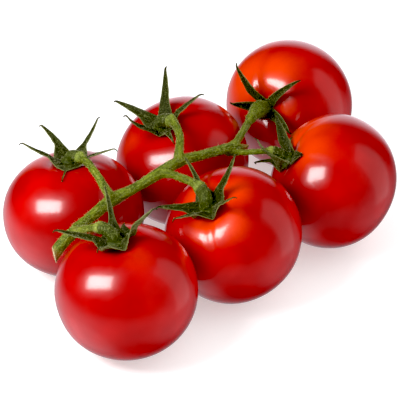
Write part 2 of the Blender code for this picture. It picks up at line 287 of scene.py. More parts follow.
def skinPoint(fruit, polar, bearing):
    # distance from the fruit's axis and height along it, polar 0 at the stem end
    shape = fruitShape
    cosine = math.cos(polar)
    half = fruit["top"] if cosine > 0 else fruit["foot"]
    height = half * math.copysign(abs(cosine) ** shape["squareness"], cosine)
    radius = fruit["radius"] * abs(math.sin(polar)) ** shape["squareness"]
    shoulder = math.exp(-(polar / shape["lobeReach"]) ** 2)
    furrow = 0.5 - 0.5 * math.cos(fruit["furrows"] * (bearing - math.radians(fruit["turn"])))
    radius *= 1.0 - shape["lobeDepth"] * shoulder * furrow
    if cosine > 0:
        height -= shape["dimpleDepth"] * math.exp(-(radius / shape["dimpleRadius"]) ** 2)
    else:
        height += shape["blossomDepth"] * math.exp(-(radius / shape["blossomRadius"]) ** 2)
    return radius, height


def creaseDepth(fruit, polar, bearing, radius):
    depth = 0.0
    for angle, deep, width, reach in fruit["creases"]:
        away = (bearing - math.radians(angle) + math.pi) % math.tau - math.pi
        side = radius * away / width
        depth += deep * math.exp(-side * side) * math.exp(-(polar / reach) ** 4)
    return depth * smoothStep(fruitShape["creaseFrom"], fruitShape["creaseTo"], radius)


def fruitPlace(fruit, polar, bearing):
    axes = fruitAxes(fruit)
    radius, height = skinPoint(fruit, polar, bearing)
    return spoke(axes, bearing) * radius + axes[2] * height


def fruitMiddle(fruit):
    # the solids rest on the lowest corner of a coarser skin
    shape = fruitShape
    lowest = min(fruitPlace(fruit, math.pi * (ring / (shape["solidRings"] + 1)) ** shape["spread"],
                            math.tau * step / shape["solidSegments"]).z
                 for ring in range(1, shape["solidRings"] + 1)
                 for step in range(shape["solidSegments"]))
    return Vector((*fruit["place"], -lowest - shape["sink"])) - trussMiddle


def buildFruit(number, material):
    fruit, shape = fruits[number], fruitShape
    middle = fruitMiddle(fruit)
    axes = fruitAxes(fruit)
    bpy.ops.mesh.primitive_uv_sphere_add(segments=shape["segments"], ring_count=shape["rings"],
                                         radius=fruit["radius"] * mm)
    item = bpy.context.object
    item.name = item.data.name = "tomatoFruit%d" % number
    seedX, seedY, seedZ = shape["dentSeed"]
    seed = Vector((seedX * number, seedY * number, seedZ))
    for vert in item.data.vertices:
        flat = math.hypot(vert.co.x, vert.co.y)
        polar = math.pi * (math.atan2(flat, vert.co.z) / math.pi) ** shape["spread"]
        bearing = math.atan2(vert.co.y, vert.co.x)
        radius, height = skinPoint(fruit, polar, bearing)
        spot = spoke(axes, bearing) * radius + axes[2] * height
        dent = shape["dent"] * (0.5 + 0.5 * noise.noise(spot * shape["dentSize"] + seed))
        dent += creaseDepth(fruit, polar, bearing, radius)
        vert.co = (middle + spot - spot.normalized() * dent) * mm
    cutAway((0, 0, 0), (0, 0, 1), clear_inner=True)      # the flat foot that it rests on
    orangeAndPaintedLight, scar = [], []
    for vert in item.data.vertices:
        out = (vert.co / mm - middle).normalized()
        polar = math.acos(max(-1.0, min(1.0, out.dot(axes[2]))))
        # orange by the stem is the fruit's own; the listed warm places add painted light, orange on
        # the key-lit side
        heat = shape["neckWarmth"] * math.exp(-(polar / shape["neckReach"]) ** 2)
        for x, y, z, reach, strength in fruit["warm"]:
            away = math.degrees(out.angle(Vector((x, y, z)))) / reach
            heat = max(heat, strength * math.exp(-away * away))
        orangeAndPaintedLight.append(heat)
        scar.append(math.exp(-((math.pi - polar) / shape["scarReach"]) ** 2))
    writeAttribute(item.data, "orangeAndPaintedLight", orangeAndPaintedLight)
    writeAttribute(item.data, "scar", scar)
    item.data.materials.append(material)
    item.data.shade_smooth()
    return item, middle


skin = tomatoSkin()
middles = {}
for number in fruits:
    piece, middles[number] = buildFruit(number, skin)
    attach(piece, "root")
    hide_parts("tomato_%d" % number)
print("six tomatoes done")


# Green parts

greenLook = {
    "stemLight": (0.178, 0.218, 0.014, 1.0),
    "stemDark": (0.052, 0.074, 0.005, 1.0),
    "stemPale": (0.43, 0.47, 0.14, 1.0),
    "knob": (0.31, 0.37, 0.07, 1.0),
    # heart: painted shade, the dark green of the stalk end and disc in the cup's shade
    "heart": (0.036, 0.048, 0.006, 1.0),
    "dry": (0.26, 0.15, 0.05, 1.0),
    "pith": (0.86, 0.80, 0.58, 1.0),
    "leaf": (0.045, 0.053, 0.010, 1.0),
    "leafDeep": (0.017, 0.021, 0.004, 1.0),
    "tipBrown": (0.020, 0.013, 0.005, 1.0),
    "leafPale": (0.27, 0.28, 0.10, 1.0),
    "under": (0.15, 0.17, 0.07, 1.0),
    "hair": (0.66, 0.64, 0.38, 1.0),
    "stemFixed": {"Roughness": 0.55, "Specular IOR Level": 0.3},
    "leafFixed": {"Specular IOR Level": 0.2},
    "hairFixed": {"Roughness": 0.5},
}
# patch and dots are scales per metre, and streak and vein per millimetre of the stored vector.
# shares say how much each of the three counts, and body and pale where a colour starts and is full.
stemGrain = {
    "streak": 1.6, "stretch": (1.0, 1.0, 0.14), "patch": 160.0, "dots": 1100.0,
    "shares": (0.4, 0.2, 0.4), "body": (0.40, 0.60), "pale": (0.54, 0.70), "paleShare": 0.55,
    "knobLeast": 0.1, "rough": 0.45, "roughDots": 0.25, "streakHeight": 0.5, "bump": (0.0005, 0.8),
}
leafGrain = {
    "vein": 1.9, "stretch": (1.0, 0.10, 1.0), "patch": 300.0, "dots": 1150.0,
    "shares": (0.6, 0.15, 0.25), "body": (0.42, 0.60), "pale": (0.54, 0.72), "paleShare": 0.55,
    "edgeTop": 0.25, "edgeUnder": 0.4, "tip": (0.84, 0.98), "tipShare": 0.85,
    "rough": 0.5, "roughDots": 0.25, "height": 0.8, "bump": (0.0004, 0.8),
}
pithGrain = {"fibre": 900.0, "pale": (0.35, 0.7), "bump": (0.0002, 0.7)}
hairGrain = {"patch": 400.0, "pale": (0.3, 0.7)}


def stemSkin():
    # flow is a vector stored on the mesh: two parts go round the stem and one along it
    look, grain = greenLook, stemGrain
    material, wire, shader = newMaterial("stemSkin", look["stemFixed"])
    flow = wire.stored("flow", out=1)
    place = wire.onPiece()
    paintedShade = wire.stored("paintedShade")
    dry = wire.stored("dry")
    knob = wire.stored("knob")
    streak = wire.grain(wire.stretched(flow, grain["stretch"]), grain["streak"], detail=3.0)
    patch = wire.grain(place, grain["patch"])
    dots = wire.grain(place, grain["dots"], detail=3.0, rough=0.75)
    streakShare, patchShare, dotShare = grain["shares"]
    mixed = streak * streakShare + patch * patchShare + dots * dotShare
    body = mixed.between(*grain["body"]).blend(look["stemDark"], look["stemLight"])
    body = (knob * (dots + grain["knobLeast"])).clamped().blend(body, look["knob"])
    # painted shade: the calyx's stalk end and disc darkened towards the heart colour
    body = paintedShade.blend(body, look["heart"])
    body = dots.between(*grain["pale"], 0.0, grain["paleShare"]).blend(body, look["stemPale"])
    body = (dry + (patch - 0.5) * dry).clamped().blend(body, look["dry"])
    height = streak * grain["streakHeight"] + dots
    feed(shader, {"Base Color": body, "Roughness": grain["rough"] + dots * grain["roughDots"],
                  "Normal": wire.bump(height, *grain["bump"])})
    return material


def leafSkin(name, low, high, edgeShare):
    # blade is stored on the mesh: x across from the midrib, y along, z differs by sepal
    look, grain = greenLook, leafGrain
    material, wire, shader = newMaterial(name, look["leafFixed"])
    blade = wire.stored("blade", out=1)
    tip = wire.stored("tip")
    edge = wire.stored("edge")
    shade = wire.stored("shade")
    place = wire.onPiece()
    vein = wire.grain(wire.stretched(blade, grain["stretch"]), grain["vein"], detail=3.0, rough=0.6)
    patch = wire.grain(place, grain["patch"], detail=3.0, rough=0.6)
    dots = wire.grain(place, grain["dots"], detail=3.0, rough=0.75)
    veinShare, patchShare, dotShare = grain["shares"]
    mixed = vein * veinShare + patch * patchShare + dots * dotShare
    colour = mixed.between(*grain["body"]).blend(low, high)
    colour = dots.between(*grain["pale"], 0.0, grain["paleShare"]).blend(colour, look["leafPale"])
    # painted shade: the listed sepals blended towards leafDeep
    colour = shade.blend(colour, look["leafDeep"])
    colour = (edge * edgeShare).blend(colour, look["leafPale"])
    colour = tip.between(*grain["tip"], 0.0, grain["tipShare"]).blend(colour, look["tipBrown"])
    height = vein * grain["height"] + dots * grain["height"]
    feed(shader, {"Base Color": colour, "Roughness": grain["rough"] + dots * grain["roughDots"],
                  "Normal": wire.bump(height, *grain["bump"])})
    return material


def cutPith():
    look, grain = greenLook, pithGrain
    material, wire, shader = newMaterial("cutPith", look["stemFixed"])
    fibre = wire.grain(wire.onPiece(), grain["fibre"], detail=3.0)
    feed(shader, {"Base Color": fibre.between(*grain["pale"]).blend(look["dry"], look["pith"]),
                  "Normal": wire.bump(fibre, *grain["bump"])})
    return material


def paleHair():
    look, grain = greenLook, hairGrain
    material, wire, shader = newMaterial("paleHair", look["hairFixed"])
    shade = wire.grain(wire.onPiece(), grain["patch"])
    feed(shader, {"Base Color": shade.between(*grain["pale"]).blend(look["stemPale"], look["hair"])})
    return material


# Routes, each point as x, y, z and radius, as in the solids

mainStem = (
    (-100.6, 0.4, 38.3, 2.8), (-97.0, 0.3, 41.4, 2.8), (-92.5, -0.5, 45.9, 2.75),
    (-86.3, -1.7, 50.3, 2.9), (-74.9, -0.5, 52.6, 2.55), (-60.6, 1.0, 54.8, 3.1),
    (-47.9, -0.5, 56.4, 2.35), (-34.0, -2.3, 59.7, 2.8), (-18.7, 0.7, 57.7, 2.7),
    (-7.1, -0.5, 56.0, 2.3), (5.2, -1.1, 53.9, 2.5), (12.6, -1.0, 51.7, 2.6),
    (18.2, -1.2, 49.8, 1.6), (22.5, -2.0, 49.0, 0.9))
cutPlace = Vector((-97.0, 0.3, 41.4))
cutNormal = Vector((-0.86, 0.42, -0.12))
# which point is the knuckle, then the points from the stem to the fruit
stalks = {
    1: (5, ((-60.2, 1.0, 55.1, 2.8), (-62.4, 2.6, 59.0, 2.4), (-61.2, 9.0, 61.9, 2.1),
            (-59.4, 15.6, 63.0, 2.0), (-57.6, 22.0, 63.3, 2.05), (-56.2, 30.2, 62.2, 2.4),
            (-56.0, 33.2, 61.0, 2.9), (-56.0, 35.8, 59.6, 3.2))),
    2: (4, ((-86.6, -1.7, 50.4, 2.4), (-87.8, -6.6, 54.4, 2.1), (-87.8, -11.8, 57.8, 2.1),
            (-87.4, -17.0, 61.2, 2.1), (-86.5, -21.2, 63.0, 2.4), (-85.3, -25.0, 62.6, 2.9),
            (-84.3, -27.8, 60.6, 3.2))),
    3: (5, ((-20.0, 0.7, 57.5, 2.6), (-17.4, 3.2, 61.4, 2.3), (-11.4, 9.3, 62.6, 2.1),
            (-7.6, 15.0, 63.3, 2.05), (-5.0, 20.6, 62.9, 2.2), (-3.9, 24.6, 62.1, 2.7),
            (-3.2, 28.8, 60.2, 3.2), (-2.9, 32.0, 57.8, 3.4))),
    4: (5, ((-34.0, -2.3, 59.4, 2.6), (-33.2, -6.2, 60.6, 2.2), (-32.1, -10.6, 61.2, 2.1),
            (-31.9, -17.2, 62.4, 2.15), (-31.0, -22.4, 62.5, 2.2), (-30.4, -26.0, 61.2, 2.6),
            (-30.5, -29.0, 58.9, 3.1), (-31.0, -30.6, 56.8, 3.4))),
    5: (4, ((11.2, -0.9, 52.0, 2.5), (17.3, 1.4, 51.5, 2.2), (24.0, 5.2, 50.9, 1.9),
            (32.0, 10.2, 49.8, 1.9), (40.5, 15.8, 48.0, 2.1), (46.5, 19.4, 46.6, 3.0),
            (52.0, 22.6, 45.0, 4.0), (55.6, 24.6, 43.2, 4.3))),
    6: (5, ((9.0, -1.2, 51.4, 2.2), (13.4, -4.0, 50.4, 1.7), (17.2, -8.2, 50.9, 1.55),
            (20.6, -11.4, 51.2, 1.55), (23.6, -13.5, 51.2, 1.75), (26.0, -15.2, 50.8, 2.2),
            (28.2, -17.2, 49.8, 2.6), (29.8, -19.0, 48.2, 2.8))),
}
stemShape = {"step": 0.7, "voxel": 0.42, "seat": 0.6, "ridges": 5, "ridgeDepth": 0.09,
             "lump": 0.22, "lumpSize": 0.32, "grooveDepth": 0.16, "grooveWidth": 0.6,
             "swell": 0.32, "swellWidth": 1.9, "slim": 0.88, "slimFrom": 3.0, "slimTo": 7.0,
             "roundness": 5, "softness": 0.5, "softSteps": 6, "twist": 0.08, "grainSeed": 3.0,
             "flowRound": 2.4, "flowApart": 40.0, "knob": (2.2, 4.2), "dryTip": (1.0, 7.0),
             "dryCut": (2.0, 5.0), "dryCutShare": 0.8, "cutMatch": 0.99, "cutSides": 8}


def smoothRoute(points):
    # samples along a smooth curve through the points, and the index of each point
    rows = [Vector((x - trussMiddle.x, y - trussMiddle.y, z, radius))
            for x, y, z, radius in points]
    rows = [rows[0] * 2 - rows[1]] + rows + [rows[-1] * 2 - rows[-2]]
    samples, marks = [], []
    for before, start, end, after in zip(rows, rows[1:], rows[2:], rows[3:]):
        spans = max(1, round((end - start).length / stemShape["step"]))
        marks.append(len(samples))
        for step in range(spans):
            s = step / spans
            samples.append(0.5 * (2 * start + (end - before) * s
                                  + (2 * before - 5 * start + 4 * end - after) * s * s
                                  + (3 * start - before - 3 * end + after) * s ** 3))
    marks.append(len(samples))
    samples.append(rows[-2])
    return samples, marks


def stalkTube(name, samples):
    # a curve with a round bevel, made a mesh
    curve = bpy.data.curves.new(name, "CURVE")
    curve.dimensions = "3D"
    curve.bevel_depth = mm
    curve.bevel_resolution = stemShape["roundness"]
    curve.use_fill_caps = True
    spline = curve.splines.new("POLY")
    spline.points.add(len(samples) - 1)
    for point, sample in zip(spline.points, samples):
        point.co = (*(sample.xyz * mm), 1.0)
        point.radius = sample.w
    pickOnly(addItem(name, curve))
    bpy.ops.object.convert(target="MESH")
    return bpy.context.object


def knuckleSwell(samples, knuckle):
    # thicker on both sides of the joint's groove, and slim between the fork and the joint
    shape = stemShape
    for index, sample in enumerate(samples):
        away = (sample.xyz - samples[knuckle].xyz).length
        fork = (sample.xyz - samples[0].xyz).length
        if index < knuckle:
            slim = smoothStep(shape["slimFrom"], shape["slimTo"], min(fork, away * 2))
            sample.w *= 1.0 - (1.0 - shape["slim"]) * slim
        bulge = shape["swell"] * math.exp(-(away / shape["swellWidth"]) ** 2)
        groove = shape["grooveDepth"] * math.exp(-(away / shape["grooveWidth"]) ** 2)
        sample.w += sample.w * bulge - groove


def weld(name, parts, voxel):
    # overlapping parts become one skin with soft joints
    pickOnly(*parts)
    bpy.ops.object.join()
    item = bpy.context.object
    item.name = item.data.name = name
    remesh = item.modifiers.new("weld", "REMESH")
    remesh.mode = "VOXEL"
    remesh.voxel_size = voxel * mm
    soften = item.modifiers.new("soften", "SMOOTH")
    soften.factor = stemShape["softness"]
    soften.iterations = stemShape["softSteps"]
    applyModifiers(item)
    return item


def routeTree(lines):
    # a search tree over all samples, and each with its direction and its way along the route
    rows = []
    for route in lines:
        travelled = 0.0
        for index, sample in enumerate(route):
            ahead = route[min(index + 1, len(route) - 1)].xyz
            behind = route[max(index - 1, 0)].xyz
            travelled += (sample.xyz - behind).length
            rows.append((sample, (ahead - behind).normalized(), travelled))
    tree = kdtree.KDTree(len(rows))
    for index, row in enumerate(rows):
        tree.insert(row[0].xyz, index)
    tree.balance()
    return tree, rows


def raiseGrain(item, tree, rows, seed):
    # ridges along the stem and small lumps, and the flow vector that the shader reads
    shape = stemShape
    flow, spots = [], []
    for vert in item.data.vertices:
        spot = vert.co / mm
        sample, run, travelled = rows[tree.find(spot)[1]]
        side = Vector((0, 0, 1)).cross(run).normalized()
        other = run.cross(side)
        away = spot - sample.xyz
        angle = math.atan2(away.dot(other), away.dot(side))
        ridge = shape["ridgeDepth"] * math.cos(shape["ridges"] * angle + travelled * shape["twist"])
        lump = shape["lump"] * noise.noise(spot * shape["lumpSize"] + Vector((seed, 0, 0)))
        spots.append(vert.co + vert.normal * (ridge + lump) * mm)
        flow.append((math.cos(angle) * shape["flowRound"], math.sin(angle) * shape["flowRound"],
                     travelled + shape["flowApart"] * seed))
    for vert, spot in zip(item.data.vertices, spots):
        vert.co = spot
    writeAttribute(item.data, "flow", flow, "FLOAT_VECTOR")


routes = {}
for number, (knuckle, points) in stalks.items():
    samples, marks = smoothRoute(points)
    knuckleSwell(samples, marks[knuckle])
    routes[number] = (samples, marks[knuckle])

stemSkinLook = stemSkin()
pithLook = cutPith()
paleFrom = {5: -5}                          # the fifth is pale at its thick end


def writeKnob(item):
    # 1 at the knuckles, where the skin is paler
    knobs = [samples[paleFrom.get(number, knuckle)].xyz
             for number, (samples, knuckle) in routes.items()]
    values = []
    for vert in item.data.vertices:
        away = min((vert.co / mm - middle).length for middle in knobs)
        values.append(1.0 - smoothStep(*stemShape["knob"], away))
    writeAttribute(item.data, "knob", values)


def buildStem():
    shape = stemShape
    mainRoute, _ = smoothRoute(mainStem)
    parts = [stalkTube("stemMain", mainRoute)]
    lower = []
    for number, (samples, knuckle) in routes.items():
        lower.append(samples[:knuckle + 1])
        parts.append(stalkTube("stemStalk%d" % number, lower[-1]))
    item = weld("trussStem", parts, shape["voxel"])
    tree, rows = routeTree([mainRoute] + lower)
    raiseGrain(item, tree, rows, shape["grainSeed"])
    cut, end = cutPlace - trussMiddle, mainRoute[-1].xyz
    cutAway(cut * mm, cutNormal, clear_outer=True)
    item.data.materials.append(stemSkinLook)
    item.data.materials.append(pithLook)
    for face in item.data.polygons:
        facing = face.normal.dot(cutNormal.normalized()) > shape["cutMatch"]
        if facing and len(face.vertices) > shape["cutSides"]:
            face.material_index = 1          # the one face that fills the cut
    writeAttribute(item.data, "paintedShade", [0.0] * len(item.data.vertices))
    writeKnob(item)
    dry = []
    for vert in item.data.vertices:
        spot = vert.co / mm
        atTip = 1.0 - smoothStep(*shape["dryTip"], (spot - end).length)
        atCut = 1.0 - smoothStep(*shape["dryCut"], (spot - cut).length)
        dry.append(max(atTip, shape["dryCutShare"] * atCut))
    writeAttribute(item.data, "dry", dry)
    item.data.shade_smooth()
    return item


stem = buildStem()
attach(stem, "root")
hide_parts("stem")
print("stem done")


# Calyxes

# each sepal: bearing, rise at the root and at the tip, length, sweep, width share, fold
# share and roll about its midrib, with angles in degrees
sepals = {
    1: ((80, 26, 17, 27.8, 8, 0.9, 0.9, 0), (157, 18, 45, 26.3, 4, 0.65, 0.9, -26),
        (224, 12, -26, 19.5, -14, 0.20, 0.6, 0), (292, 18, 26, 27.3, -7, 0.5, 1.0, 18),
        (6, 19, 58, 25.8, 4, 0.65, 1.1, 0)),
    2: ((53.3, 22, 35, 29.2, 5.5, 0.65, 1.0, 18), (152, 29, 31, 28.8, -15, 0.95, 0.9, -15),
        (211.5, 25, 35, 25.3, 9, 0.6, 1.0, 0), (303, 42, 42, 28.0, 10, 0.85, 0.5, -50),
        (8, 40, 50, 8.5, 0, 0.45, 1.0, 0)),
    3: ((23.5, 18, 53, 28.2, 0, 1.1, 0.9, 0), (95.6, 21, 24, 27.0, 8, 1.0, 0.9, 0),
        (180, 32, 93, 26.9, 0, 0.75, 0.8, -35), (250, 15, 24, 25.4, -8, 0.6, 1.2, 0),
        (318, 23.5, 27.5, 27.9, -7, 0.75, 1.0, 10)),
    4: ((55, 19, 18, 26.7, 15, 0.6, 1.1, 20), (138.6, 27, 53, 24.0, 16, 0.95, 0.9, -10),
        (199.5, 46, 55, 27.4, -7, 0.45, 1.0, -20), (282.6, 31, 39.5, 27.2, 15, 0.45, 1.2, 0),
        (341.5, 20.4, 44, 29.4, 9.5, 0.85, 1.0, 10)),
    5: ((69, 30, 33, 27.3, -9, 1.0, 1.0, 0), (123, 32, 82, 17.8, -20, 1.0, 0.7, 0),
        (205, 15, 10, 4.5, 0, 0.3, 0.6, 0), (298.7, 21, 33, 25.2, -20, 1.05, 0.8, -20),
        (356, 21.6, 0, 28.1, -13, 0.9, 1.0, 0)),
    6: ((8, 22, 32, 22.0, 0, 1.15, 0.6, 38), (81, 18, 0, 26.0, 0, 0.4, 1.0, 0),
        (208, 61, 158, 21.6, -13, 0.4, 1.0, 0), (262, 14, -14, 13.5, 10, 1.7, 0.5, 0),
        (312, 24, 30, 11.0, 0, 0.8, 1.0, 0)),
}
sepalShape = {"root": 1.6, "width": 6.6, "tipWidth": 0.5, "taper": 0.85, "belly": 0.25,
              "fold": 0.45, "thick": 0.5, "cup": 7.0, "cupRows": 9, "bladeRows": 28,
              "halfColumns": 5, "spacing": 0.92, "settle": 0.13, "hookStart": 0.90,
              "hook": 110.0, "hookCurve": 1.6, "ripple": 0.28, "rippleLength": 5.5,
              "rippleShift": 1.3, "routeSteps": 160, "rootSag": 1.1, "sagReach": 3.5,
              "clear": 0.35, "skinRim": 0.98, "webDrop": 9.0, "cupCurve": 1.7,
              "rollStart": 0.12, "rollEnd": 0.5, "edgeFrom": 0.7, "edgePower": 5,
              "grainApart": (7.0, 31.0), "seed": 100}
# how far out neighbouring sepals are joined on each calyx, and the sepals joined for longer
webReach = {1: 7.6, 2: 8.2, 3: 7.4, 4: 7.8, 5: 4.8, 6: 7.0}
webWide = {(1, 224): 11.5, (1, 157): 9.0, (1, 292): 9.0, (2, 211.5): 9.5, (2, 303): 11.0,
           (4, 199.5): 9.0, (4, 282.6): 9.0, (5, 205): 5.2}
shaded = {(6, 262): 0.9}                    # sepals with painted shade, darker than the rest
# the disc's profile is its rings from below, each as radius and height
discShape = {"neck": 1.6, "foot": -1.95, "sides": 32, "voxel": 0.36, "grainSeed": 5.0,
             "profile": ((2.0, -1.4), (4.2, -0.9), (4.7, -0.2), (4.0, 0.7), (2.6, 1.6))}


def sepalRoute(frameAxes, hub, blade):
    # points along the midrib with the directions across the blade and up from it there
    shape, axis = sepalShape, frameAxes[2]
    bearing, riseRoot, riseTip, length, sweep, *_, roll = blade
    bearing, sweep = math.radians(bearing), math.radians(sweep)
    spot = None
    rows = []
    steps = shape["routeSteps"]
    for step in range(steps + 1):
        s = step / steps
        turn = bearing + sweep * s * s
        rise = math.radians(riseRoot + (riseTip - riseRoot) * s)
        curl = max(0.0, (s - shape["hookStart"]) / (1.0 - shape["hookStart"]))
        rise -= math.radians(shape["hook"]) * curl ** shape["hookCurve"]
        out = spoke(frameAxes, turn)
        run = out * math.cos(rise) + axis * math.sin(rise)
        spot = hub + out * shape["root"] if spot is None else spot + run * length / steps
        wide = axis.cross(out)
        # the midrib lies flat on the fruit before it rises
        sunk = s * length / shape["sagReach"]
        sag = shape["rootSag"] * sunk * math.exp(1.0 - sunk)
        up = run.cross(wide)
        turned = math.radians(roll) * smoothStep(shape["rollStart"], shape["rollEnd"], s)
        rows.append((spot - axis * sag, wide * math.cos(turned) + up * math.sin(turned),
                     up * math.cos(turned) - wide * math.sin(turned)))
    return rows


def webReachOf(number, first, second):
    # how far out the edge between two sepals lies
    return sum(webWide.get((number, blade[0]), webReach[number]) for blade in (first, second)) / 2


def webPoint(hub, frameAxes, first, second, reach):
    # under the skin, half way between the bearings of two sepals
    gap = (second[0] - first[0] + 180.0) % 360.0 - 180.0
    middle = math.radians(first[0] + gap / 2)
    return hub + spoke(frameAxes, middle) * reach - frameAxes[2] * sepalShape["webDrop"]


def overSkin(number, hub, axis, spot):
    # the spot itself, or the nearest place above it that is clear of the fruit
    fruit = fruits[number]
    away = spot - hub
    height = away.dot(axis)
    flat = (away - axis * height).length / fruit["radius"]
    if flat >= sepalShape["skinRim"]:
        return spot
    polar = math.asin(flat ** (1.0 / fruitShape["squareness"]))
    skinHeight = skinPoint(fruit, polar, 0.0)[1] - fruit["top"] + fruitShape["hubBelowTop"]
    lift = skinHeight + sepalShape["clear"] - height
    return spot + axis * max(0.0, lift)


def stationsOf(cupEnd):
    # shares of a sepal's length: even in the cup, and a little closer towards the tip
    shape = sepalShape
    inner = [cupEnd * row / shape["cupRows"] for row in range(shape["cupRows"] + 1)]
    return inner + [cupEnd + (1 - cupEnd) * (row / shape["bladeRows"]) ** shape["spacing"]
                    for row in range(1, shape["bladeRows"] + 1)]


def calyxSheet(name, number, hub, frameAxes):
    # one sheet: inside the cup the sepals share their edges, and beyond it each is free
    shape, axis = sepalShape, frameAxes[2]
    blades = sorted(sepals[number], key=lambda blade: blade[0] % 360)
    ribs = [sepalRoute(frameAxes, hub, blade) for blade in blades]
    steps, half = shape["routeSteps"], shape["halfColumns"]
    leafApart, calyxApart = shape["grainApart"]
    bm = bmesh.new()
    bladeLayer = bm.verts.layers.float_vector.new("blade")
    tipLayer = bm.verts.layers.float.new("tip")
    edgeLayer = bm.verts.layers.float.new("edge")
    shadeLayer = bm.verts.layers.float.new("shade")
    rng = random.Random(shape["seed"] + number)
    for index, (blade, rib) in enumerate(zip(blades, ribs)):
        bearing, length, share, foldShare = blade[0], blade[3], blade[5], blade[6]
        phase = rng.uniform(0, math.tau)
        pairs = {-1: (blades[index - 1], blade), 1: (blade, blades[(index + 1) % len(ribs)])}
        joined = webWide.get((number, bearing))
        cupEnd = (joined - shape["root"] if joined else shape["cup"]) / length
        rows = []
        for row, s in enumerate(stationsOf(cupEnd)):
            spot, wide, up = rib[min(steps, round(s * steps))]
            reach = min(1.0, row / shape["cupRows"])
            cupSpot = rib[min(steps, round(reach * cupEnd * steps))][0]
            width = shape["tipWidth"] + (shape["width"] * share * (1 - s) ** shape["taper"]
                                         * (1 + shape["belly"] * s))
            settle = smoothStep(0.0, shape["settle"], max(0.0, s - cupEnd))
            verts = []
            for column in range(-half, half + 1):
                u = column / half
                side = 1 if u > 0 else -1
                outward = abs(u)
                far = webReachOf(number, *pairs[side]) - shape["root"]
                web = webPoint(hub, frameAxes, *pairs[side], shape["root"] + far * reach)
                web = overSkin(number, hub, axis, web) - cupSpot
                bladeEdge = (wide * side + up * shape["fold"] * foldShare).normalized() * width / 2
                edge = web if row <= shape["cupRows"] else web.lerp(bladeEdge, settle)
                lift = edge.dot(up)
                point = (spot + (edge - up * lift) * outward
                         + up * lift * outward ** shape["cupCurve"])
                wave = math.sin(math.tau * s * length / shape["rippleLength"] + phase
                                + shape["rippleShift"] * side)
                point += up * shape["ripple"] * wave * outward ** 2 * settle * (1 - s)
                vert = bm.verts.new(overSkin(number, hub, axis, point) * mm)
                vert[bladeLayer] = (u * width / 2, s * length,
                                    leafApart * index + calyxApart * number)
                vert[tipLayer] = s
                vert[shadeLayer] = shaded.get((number, bearing), 0.0)
                vert[edgeLayer] = (outward ** shape["edgePower"]
                                   * max(settle, smoothStep(shape["edgeFrom"], 1.0, reach)))
                verts.append(vert)
            rows.append(verts)
        for near, far in zip(rows, rows[1:]):
            for column in range(2 * half):
                bm.faces.new((near[column], near[column + 1], far[column + 1], far[column]))
    bmesh.ops.remove_doubles(bm, verts=bm.verts, dist=1e-6)
    item = closeMesh(name, bm)
    if sum(face.normal.dot(axis) for face in item.data.polygons) < 0:
        item.data.flip_normals()
    return item


# how far past the knuckle the painted shade starts, where it is full, and how dark it gets: the
# stalk end and disc painted dark green where shade falls in the cup
heartPaintedShade = {1: (0.4, 2.4, 0.92), 2: (1.2, 3.8, 0.85), 3: (0.6, 2.8, 0.88), 4: (1.0, 3.8, 0.8),
             5: (12.0, 17.0, 0.3), 6: (1.0, 2.6, 0.95)}


def calyxHeart(name, number, hub, frameAxes):
    # the thick end of the stalk with the disc that the sepals spring from
    shape, axis = discShape, frameAxes[2]
    samples, knuckle = routes[number]
    upper = [sample.copy() for sample in samples[knuckle:]]
    upper.append(Vector((*(hub + axis * stemShape["seat"]), upper[-1].w)))
    tube = stalkTube(name + "Stalk", upper)
    bm = bmesh.new()
    rings = []
    for radius, height in ((shape["neck"], shape["foot"]), *shape["profile"]):
        ring = []
        for step in range(shape["sides"]):
            out = spoke(frameAxes, math.tau * step / shape["sides"])
            ring.append(bm.verts.new((hub + out * radius + axis * height) * mm))
        rings.append(ring)
    for low, high in zip(rings, rings[1:]):
        for step in range(shape["sides"]):
            after = (step + 1) % shape["sides"]
            bm.faces.new((low[step], low[after], high[after], high[step]))
    bm.faces.new(rings[0][::-1])
    bm.faces.new(rings[-1])
    item = weld(name, [tube, closeMesh(name + "Disc", bm)], shape["voxel"])
    tree, rows = routeTree([upper])
    raiseGrain(item, tree, rows, shape["grainSeed"] + number)
    # painted shade, growing past the knuckle towards the disc
    start, near, far, full = upper[0].xyz, *heartPaintedShade[number]
    writeAttribute(item.data, "paintedShade", [full * smoothStep(near, far, (vert.co / mm - start).length)
                                       for vert in item.data.vertices])
    writeAttribute(item.data, "dry", [0.0] * len(item.data.vertices))
    writeKnob(item)
    return item


calyxLooks = (
    leafSkin("sepalTop", greenLook["leafDeep"], greenLook["leaf"], leafGrain["edgeTop"]),
    leafSkin("sepalUnder", greenLook["leaf"], greenLook["under"], leafGrain["edgeUnder"]),
    stemSkinLook)


def buildCalyx(number):
    name = "trussCalyx%d" % number
    fruit = fruits[number]
    frameAxes = fruitAxes(fruit)
    hub = middles[number] + frameAxes[2] * (fruit["top"] - fruitShape["hubBelowTop"])
    sheet = calyxSheet(name, number, hub, frameAxes)
    for material in calyxLooks:
        sheet.data.materials.append(material)
    thicken = sheet.modifiers.new("thicken", "SOLIDIFY")
    thicken.thickness = sepalShape["thick"] * mm
    thicken.offset = 1.0
    thicken.material_offset = 1
    thicken.material_offset_rim = 1
    rounder = sheet.modifiers.new("rounder", "SUBSURF")
    rounder.levels = rounder.render_levels = 1
    applyModifiers(sheet)
    heart = calyxHeart(name + "Heart", number, hub, frameAxes)
    for material in calyxLooks:
        heart.data.materials.append(material)
    for face in heart.data.polygons:
        face.material_index = calyxLooks.index(stemSkinLook)
    union = sheet.modifiers.new("union", "BOOLEAN")
    union.operation = "UNION"
    union.solver = "MANIFOLD"
    union.object = heart
    applyModifiers(sheet)
    bpy.data.objects.remove(heart, do_unlink=True)
    sheet.data.shade_smooth()
    return sheet


calyxes = {}
for number in fruits:
    piece = buildCalyx(number)
    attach(piece, "root")
    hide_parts("calyx_%d" % number)
    calyxes[number] = piece
print("six calyxes done")


# Hairs

# per piece: how many hairs, and their shortest and longest
hairs = {"radius": 0.055, "sides": 3, "sunk": 0.12, "lean": 0.7,
         "stem": (6500, 0.35, 0.95), "calyx": (1800, 0.3, 0.8),
         "long": (50, 1.5, 2.4), "seed": 41}


